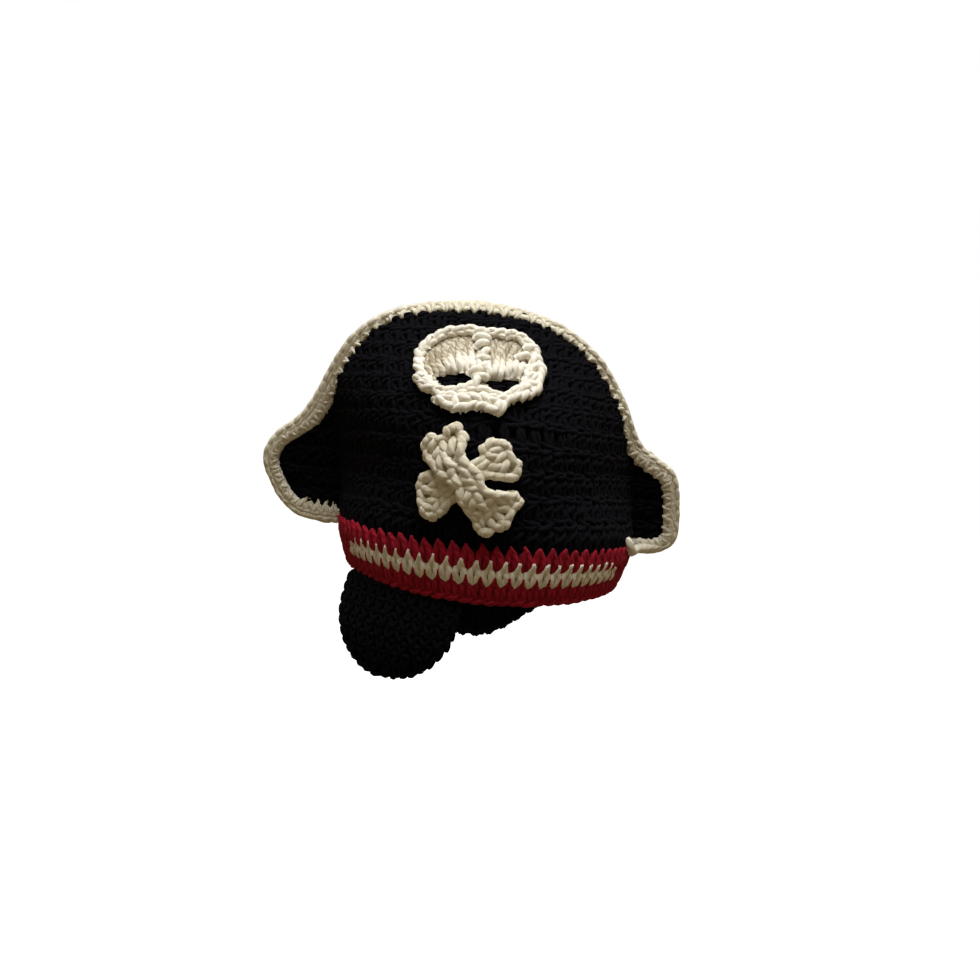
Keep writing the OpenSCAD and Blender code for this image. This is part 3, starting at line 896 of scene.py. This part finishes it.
def fan(curves, count):
    """Points across several curves, with count strands spread evenly along each."""
    rows = []
    for curve in curves:
        fine = spline(curve, 8)
        s = np.concatenate([[0], np.cumsum(np.linalg.norm(np.diff(fine, axis=0), axis=1))])
        rows.append(between(np.linspace(0, s[-1], count), s, fine))
    return np.stack(rows, axis=1)


ROPE_OUT = [[-3.9, 0.9, 1.6], [-1.6, 0.2, 3.5], [1.4, -0.7, 3.7], [3.9, -1.0, 2.0]]
ROPE_IN = [[-3.7, 0.1, 1.4], [-1.3, 1.1, 2.8], [1.2, 1.4, 2.6], [3.8, 1.0, 1.4]]
LUMP = [[-2.9, 0.8, 1.6], [-1.1, 0.4, 3.6], [1.2, -0.3, 3.8], [3.0, -0.8, 1.8]]


def rope(yarn, line, templates, pitch, r, jitter=0.2, sway=0.06):
    for template in templates:
        yarn.lay(line.place, line.spots(pitch), template, r, jitter=jitter, sway=sway)


def lumps(yarn, place, spots, r, jitter=0.4, turn=0.0):
    """Short puffed strands, each turned its own way, at (x, z) points."""
    turns = turn + yarn.random.normal(0, 0.5, len(spots))
    yarn.lay(place, spots, LUMP, r, turn=turns, jitter=jitter)


skull_rim_line = motif_line(SKULL_PATH, on_front, closed=True)
skull_rim = Yarn("skull_rim_stitches", 9, 41, lobes=0.03)
rope(skull_rim, skull_rim_line, (ROPE_OUT,), 5.2, 1.9, sway=0.1)
rope(skull_rim, skull_rim_line, (ROPE_IN,), 5.2, 1.5, sway=0.2)
base_line = joined(np.linspace(0, skull_rim_line.length, 160), 0.3, 1.9)
skull_rim.add(skull_rim_line.place(base_line[None]), 1.95, steps=1)
skull_rim = dress(skull_rim.make(), WHITE, "white_yarn", "skull_rim")

LEFT_EYE = [
    [-28.4, 101], [-23.8, 102.3], [-19, 103.1], [-14, 103.3], [-13.4, 101], [-14.8, 98.4],
    [-18, 97.6], [-21, 96.6], [-24.4, 96.6], [-27.6, 99]
]
RIGHT_EYE = [
    [-5.8, 100.7], [-1.6, 101.5], [2.2, 102.5], [6.2, 102.4], [7, 99.9], [5, 97.4], [2.4, 95.9],
    [-0.4, 96.3], [-3, 97.6], [-5.2, 98.9]
]
EYE_TOPS = [
    [-34.5, 101], [-31.5, 102.2], [-28, 102.9], [-24, 103.9], [-19, 104.7], [-14, 105],
    [-10.2, 105.5], [-6.2, 102.8], [-1.8, 103.3], [2.2, 104.1], [6.4, 104], [9.6, 103.8]
]
BROW = [
    [-36.8, 104.5], [-35.3, 108.4], [-29.5, 109.8], [-24.3, 111.9], [-19.8, 112.2], [-15.7, 113.6],
    [-11.3, 114.2], [-7.5, 112.2], [-2.5, 111.4], [2.4, 112.6], [7.2, 113.5], [11.5, 110.5]
]
UNDER_RIM = [
    [-37, 107], [-36.2, 113], [-31, 119], [-25, 122.3], [-18, 123.8], [-10.4, 124], [-3, 123.8],
    [4, 122.8], [9, 119.4], [13, 112]
]
skull_face = Yarn("skull_face_stitches", 9, 42, lobes=0.03)
FAN_COUNT = 18
bottom, brow, top = np.moveaxis(fan((EYE_TOPS, BROW, UNDER_RIM), FAN_COUNT), 1, 0)
posts = np.stack([bottom, bottom + [0, 0.5], bottom * 0.6 + brow * 0.4, brow,
                  (brow + top) / 2, top], axis=1)
# The strands on the left lie lower; they and the strands near the skull's rim are darkened as
# painted shade, and just above the eyes they are lightened a little as painted light.
sunken = smooth((6 - np.arange(FAN_COUNT)) / 4)[:, None]
heights = np.array([0.7, 2.8, 3.7, 1.3, 0.1, 0.3]) * (1 - 0.5 * sunken)
fan_painted_shade = np.array([0, -0.1, 0, 0.6, 0.85, 0.8]) + sunken * [0.1, 0.4, 0.6, 0.3, 0, 0]
posts = np.concatenate([posts, heights[..., None]], axis=2)
posts += skull_face.random.normal(0, 0.5, posts.shape) * [1, 1, 0.9]
skull_face.add(on_front(posts), [1.4, 1.7, 1.95, 1.5, 1.3, 1.3], shade=fan_painted_shade)
UNDER_LEFT_EYE = [
    [-37.5, 100], [-34.5, 96.3], [-29.5, 94.4], [-24.6, 93.5], [-19.8, 93.7], [-15.6, 95.2],
    [-12.2, 97.4]
]
UNDER_RIGHT_EYE = [
    [-8.6, 96.4], [-4.2, 94.3], [1.0, 93.1], [5.3, 94.2], [8.9, 98], [10.2, 102.2], [10.4, 106.5]
]
UPPER_JAW = [
    [-27.5, 91], [-21.8, 90.8], [-17.1, 91.2], [-12.5, 91.6], [-7.8, 91.9], [-3.2, 91.8],
    [2.4, 91.7]
]
for path in (UNDER_LEFT_EYE, UNDER_RIGHT_EYE):
    rope(skull_face, motif_line(path, on_front), (ROPE_OUT, ROPE_IN), 5.2, 1.7, 0.3, 0.2)
rope(skull_face, motif_line(UPPER_JAW, on_front), (LUMP, mirrored(ROPE_IN)), 4.8, 1.8, 0.4, 0.3)
NOSE = [
    [-11.4, 98.2], [-9.8, 101], [-11.6, 103.4], [-9.2, 106], [-10.6, 109.6], [-9.6, 113.4],
    [-11, 117.4], [-9.6, 121]
]
lumps(skull_face, on_front, NOSE, 2.0, turn=0.8)
CHEEK = [
    [11.6, 118], [9.2, 113.4], [13, 113.4], [14.6, 108.8], [10.6, 108.2], [11.4, 104.2], [14, 104],
    [12.6, 99.8], [9.2, 98.4], [6.2, 95.6]
]
lumps(skull_face, on_front, CHEEK, 2.05, turn=0.6)
CHIN = [[-22.8, 90.4], [-19, 89.2], [-14.8, 89.6], [-10.6, 90.4], [-6.6, 91], [-3, 89.6]]
lumps(skull_face, on_front, CHIN, 1.9)
skull_face.lay(on_front, [[-0.8, 88]], LUMP, [1.3, 2.3, 2.3, 1.4], turn=1.6, jitter=0)
skull_face = dress(skull_face.make(), WHITE, "white_yarn", "skull_face")


def in_skull(points):
    eyes = np.maximum(inside(LEFT_EYE, points), inside(RIGHT_EYE, points))
    return (inside(SKULL_PATH, points) > 0) & (eyes < -0.9)


skull_ground = motif_cloth("skull_face", on_front, SKULL_PATH, in_skull, (1.1, 0.3))

SKULL_WHIPS = 19
WHIP = np.array([[0.2, -1.7, -0.3], [0.1, -1.7, 1.6], [0, -1.2, 4.5], [-0.2, 0.6, 5.4]])
skull_stitches = Yarn("skull_sewing", 6, 43)
skull_stitches.lay(skull_rim_line.place, skull_rim_line.spots(skull_rim_line.length / SKULL_WHIPS),
                   WHIP, 0.5, jitter=0.1)
skull_stitches = dress(skull_stitches.make(), WHITE, "white_yarn", "skull_stitches")

# ---- bones
OVER_OUTLINE = [
    [-29.5, 72.5], [-26, 76.5], [-21, 75], [-20.6, 78.4], [-17.2, 80.2], [-14, 79.2], [-12, 76.2],
    [-11.2, 71.5], [-11, 67.5], [-7.5, 64.5], [-3, 59], [-1.5, 54.6], [4, 53.2], [10, 52.8],
    [14, 49], [10.5, 43.3], [9.5, 37.5], [5.5, 35], [-1, 32.5], [-5, 35.5], [-6, 39.5], [-9, 43.5],
    [-11.5, 48], [-13.5, 53.5], [-21, 59], [-22.5, 62], [-26.5, 65], [-28.5, 68.5]
]
UNDER_OUTLINE = [
    [-8.5, 66], [-6, 67.5], [-6.5, 71.5], [-3, 74.5], [1.5, 75.5], [6, 73.5], [7, 69], [10.2, 67.2],
    [10.7, 62], [9.6, 57.6], [6, 58.2], [1, 58], [-2.5, 58], [-12, 47], [-15.5, 44], [-16, 41.5],
    [-19, 38], [-23, 36], [-27.6, 40], [-28.8, 45.5], [-29.2, 51], [-28.4, 56.5], [-24.3, 60.5],
    [-20.5, 58]
]
BONE_LUMP = [[-2.9, 2.4, 1.9], [-1.2, 2.0, 3.3], [1.2, 1.9, 3.4], [3.0, 2.3, 2.0]]
BONE_FILL = [[-3.2, 0.6, 2.0], [-1.2, 0.3, 3.5], [1.3, -0.2, 3.6], [3.2, -0.6, 2.1]]


def over_other_bone(xzh):
    """Place on the front panel, raised where the upper bone crosses the lower one."""
    away = np.linalg.norm(xzh[..., :2] - CROSSING, axis=-1)
    lift = (MOTIF_T + GAP) * (1 - smooth((away - 9) / 11))
    return on_front(xzh + joined(0.0, 0.0, lift))


def bone(name, path, place, angle, seed):
    yarn = Yarn(name + "_stitches", 9, seed, lobes=0.05)
    outline = motif_line(path, place, closed=True)
    rope(yarn, outline, (BONE_LUMP,), 4.5, 2.2, 0.2, 0.2)
    x, z = np.meshgrid(np.arange(-36, 20, 4.0), np.arange(28, 84, 3.6))
    x = x + 2.0 * (np.arange(len(z)) % 2)[:, None]
    spots = joined(x, z).reshape(-1, 2)
    spots = spots[inside(path, spots) > 3.2]
    lean = np.where(np.arange(len(spots)) % 2, 0.5, -0.5)
    yarn.lay(place, spots, BONE_FILL, 2.15, turn=angle + lean, jitter=0.3, sway=0.25)
    ground = motif_cloth(name, place, path, lambda points: inside(path, points) > 1.6, (2.4, 0.3))
    # The bones use the darker copy of the white yarn, as painted shade.
    return outline, dress(yarn.make(), SHADED_WHITE, "white_yarn", name), ground


over_line, bone_over, bone_over_ground = bone("bone_over", OVER_OUTLINE, over_other_bone, -0.95, 51)
under_line, bone_under, bone_under_ground = bone("bone_under", UNDER_OUTLINE, on_front, 0.75, 52)
BONE_WHIP = [[0.2, -0.3, 0], [0.1, -0.6, 1.8], [0, 0.8, 4.2], [-0.1, 2.6, 5.1]]
bone_sewing = Yarn("bone_sewing", 6, 53)
for line, knobs in ((over_line, OVER_KNOBS), (under_line, UNDER_KNOBS)):
    for x, z, r in knobs:
        tip = np.array([x, z]) + r * unit(np.array([x, z]) - CROSSING)
        tip = on_front(np.append(tip, 0.0))
        spot = [[line.s[np.argmin(np.linalg.norm(line.p - tip, axis=1))], 0.0]]
        bone_sewing.lay(line.place, spot, BONE_WHIP, 0.5, jitter=0.1)
# The bones' sewing uses the darker copy of the white yarn, as painted shade.
bone_sewing = dress(bone_sewing.make(), SHADED_WHITE, "white_yarn", "bone_stitches")

# ---- strap and eye patch
STRAP_LEG = [
    [-0.1, -0.6, 0.7], [-1.5, 0.9, 1.3], [-1.9, 3.2, 1.5], [-1.3, 5.6, 1.3], [-0.1, 7.4, 1.5]
]
STRAP_ROW = STRAP_W / 3
STRAP_COUNT = 74
strap_yarn = Yarn("strap_stitches", 6, 61)
strap_pitch = strap_ring.length / STRAP_COUNT
for row in range(3):
    spots = joined((np.arange(STRAP_COUNT) + 0.5 * (row % 2)) * strap_pitch,
                   -STRAP_W / 2 + row * STRAP_ROW)
    for template in (STRAP_LEG, mirrored(STRAP_LEG)):
        strap_yarn.lay(on_strap, spots, template, [1.1, 1.3, 1.35, 1.3, 0.9], jitter=0.12)
STRAP_LOOP = [[-4.2, 0.5, 0.9], [-1.6, 0.9, 1.8], [1.6, 0.2, 1.7], [4.2, -0.3, 0.9]]
for height in (-STRAP_W / 2 + 0.6, STRAP_W / 2 - 0.8):
    strap_yarn.lay(on_strap, joined(np.arange(STRAP_COUNT) * strap_pitch, height),
                   STRAP_LOOP, 1.2, jitter=0.12)
strap_yarn = dress(strap_yarn.make(), BLACK, "black_yarn", "strap", body="patch_strap")
strap_ground = dress(ring_cloth("strap_cloth", on_strap, strap_ring.length,
                                np.linspace(-STRAP_W / 2 + 0.4, STRAP_W / 2 - 0.6, 7),
                                (1.2, 0.1)), BLACK_GROUND, "black_yarn", "strap", body="patch_strap")
SEAM_Y = STRAP_B - STRAP_T - GAP - 0.6
seam_z = STRAP_HIGH_Z + np.linspace(-9, 9, 13)
seam_x = np.where(np.arange(13) % 2, 1.2, -1.2)
seam = Yarn("strap_seam_stitches", 8, 62)
seam.add(joined(seam_x, SEAM_Y, seam_z)[None], 0.7, steps=4)
seam.add(joined(-seam_x, SEAM_Y - 0.2, seam_z)[None], 0.7, steps=4)
seam = dress(seam.make(), BLACK, "black_yarn", "strap_seam", body="patch_strap")

DEGREE = math.radians(1) * (STRAP_A + STRAP_B) / 2


def patch_half_width(down):
    t = np.clip(down / PATCH_H, 0, 1)
    return PATCH_HALF_ANGLE * DEGREE * np.sqrt(np.maximum(1 - t**2.4, 0))


def over_patch(xyh):
    """Points above the patch, from (across, up from its top edge, height) in millimetres."""
    down = np.clip(-xyh[..., 1], -0.5, PATCH_H * 0.975)
    s = xyh[..., 0] / np.maximum(patch_half_width(down), 1)
    return on_patch(joined(np.clip(s, -0.97, 0.97), down / PATCH_H, xyh[..., 2]))


PATCH_ROW = 5.6
PATCH_PITCH = 6.0
PATCH_LEG = [[-2.7, 3.4, 1.3], [-1.7, 1.4, 2.5], [-0.7, -1.0, 2.8], [0, -3.0, 1.6]]
PATCH_TOP = [[-3.6, 3.2, 1.2], [-1.3, 3.9, 2.4], [1.4, 3.1, 2.5], [3.6, 3.6, 1.3]]
patch_yarn = Yarn("eye_patch_stitches", 7, 71)
for row in range(7):
    down = 3.2 + row * PATCH_ROW
    half = float(patch_half_width(down)) - 1.5
    count = max(int(2 * half / PATCH_PITCH), 1)
    across = (np.arange(count) + 0.5) * 2 * half / count - half
    spots = joined(across + 1.4 * (row % 2), -down)
    for template in (PATCH_LEG, mirrored(PATCH_LEG), PATCH_TOP):
        patch_yarn.lay(over_patch, spots, template, 1.4, jitter=0.15)
patch_yarn = dress(patch_yarn.make(), BLACK, "black_yarn", "eye_patch", body="eye_patch")
patch_grid = net(np.linspace(-0.97, 0.97, 41), np.linspace(0.01, 0.975, 25))
patch_ground = dress(cloth("eye_patch_cloth", on_patch, patch_grid, (1.4, 0.3)),
                     BLACK_GROUND, "black_yarn", "eye_patch", body="eye_patch")
top_run = joined(np.linspace(-1, 1, 13)[:-1], 0.0, 0.0)
round_run = np.sin(np.radians(np.arange(0, 90.1, 6))) * 0.995
patch_path = np.concatenate([top_run, joined(1.0, round_run, 0.0),
                             joined(-1.0, round_run[-2:0:-1], 0.0), top_run[:1]])
patch_edge = Line(on_patch(patch_path), on_patch(patch_path + [0, 0, 1]) - on_patch(patch_path),
                  closed=True)
patch_rim = Yarn("patch_rim_stitches", 7, 72)
PATCH_ROPE = [[-3.6, 0.5, 1.0], [-1.5, 0.1, 2.4], [1.4, -0.8, 2.3], [3.6, -0.9, 0.9]]
rope(patch_rim, patch_edge, (PATCH_ROPE, [[a, b + 0.6, 2.2 - c] for a, b, c in PATCH_ROPE]),
     5.6, 1.35, jitter=0.15)
patch_rim = dress(patch_rim.make(), BLACK, "black_yarn", "patch_rim", body="eye_patch")

# ---- stage
def area_light(name, place, target, size, power, colour):
    data = bpy.data.lights.new(name, "AREA")
    data.shape = "SQUARE"
    data.size = size
    data.energy = power
    data.color = colour
    light = add_object(name, data)
    light.location = place
    away = np.array(place) - np.array(target)
    yaw = math.atan2(away[0], -away[1])
    tilt = math.atan2(math.hypot(away[0], away[1]), away[2])
    light.rotation_euler = (tilt, 0, yaw)


area_light("key", (0.03, -0.30, 1.2), (0, -0.04, 0.08), 0.8, 20.5, (0.95, 0.98, 1.0))
world = bpy.data.worlds.new("studio")
bpy.context.scene.world = world
world.use_nodes = True
background = world.node_tree.nodes["Background"]
background.inputs["Color"].default_value = (1.0, 0.80, 0.50, 1)
background.inputs["Strength"].default_value = 0.22
bpy.context.scene.view_settings.view_transform = "Standard"


def stage_material(name, colour, glow):
    material = bpy.data.materials.new(name)
    material.use_nodes = True
    shader = material.node_tree.nodes["Principled BSDF"]
    shader.inputs["Base Color"].default_value = (*colour, 1)
    shader.inputs["Roughness"].default_value = 1.0
    shader.inputs["Emission Color"].default_value = (1, 1, 1, 1)
    shader.inputs["Emission Strength"].default_value = glow
    return material


def set_stage(shown, name, colour, glow):
    shown.name = name
    shown.data.materials.append(stage_material("pale_" + name, colour, glow))
    shown.visible_diffuse = False
    shown.visible_glossy = False
    shown.visible_shadow = False
    shown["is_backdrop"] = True


bpy.ops.mesh.primitive_circle_add(vertices=96, radius=6, fill_type="NGON", location=(0, 0, -0.25))
set_stage(bpy.context.object, "floor", (0.9, 0.9, 0.9), 0.9)
bpy.ops.mesh.primitive_uv_sphere_add(segments=48, ring_count=24, radius=7)
set_stage(bpy.context.object, "backdrop", (0, 0, 0), 1.0)

low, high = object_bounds()
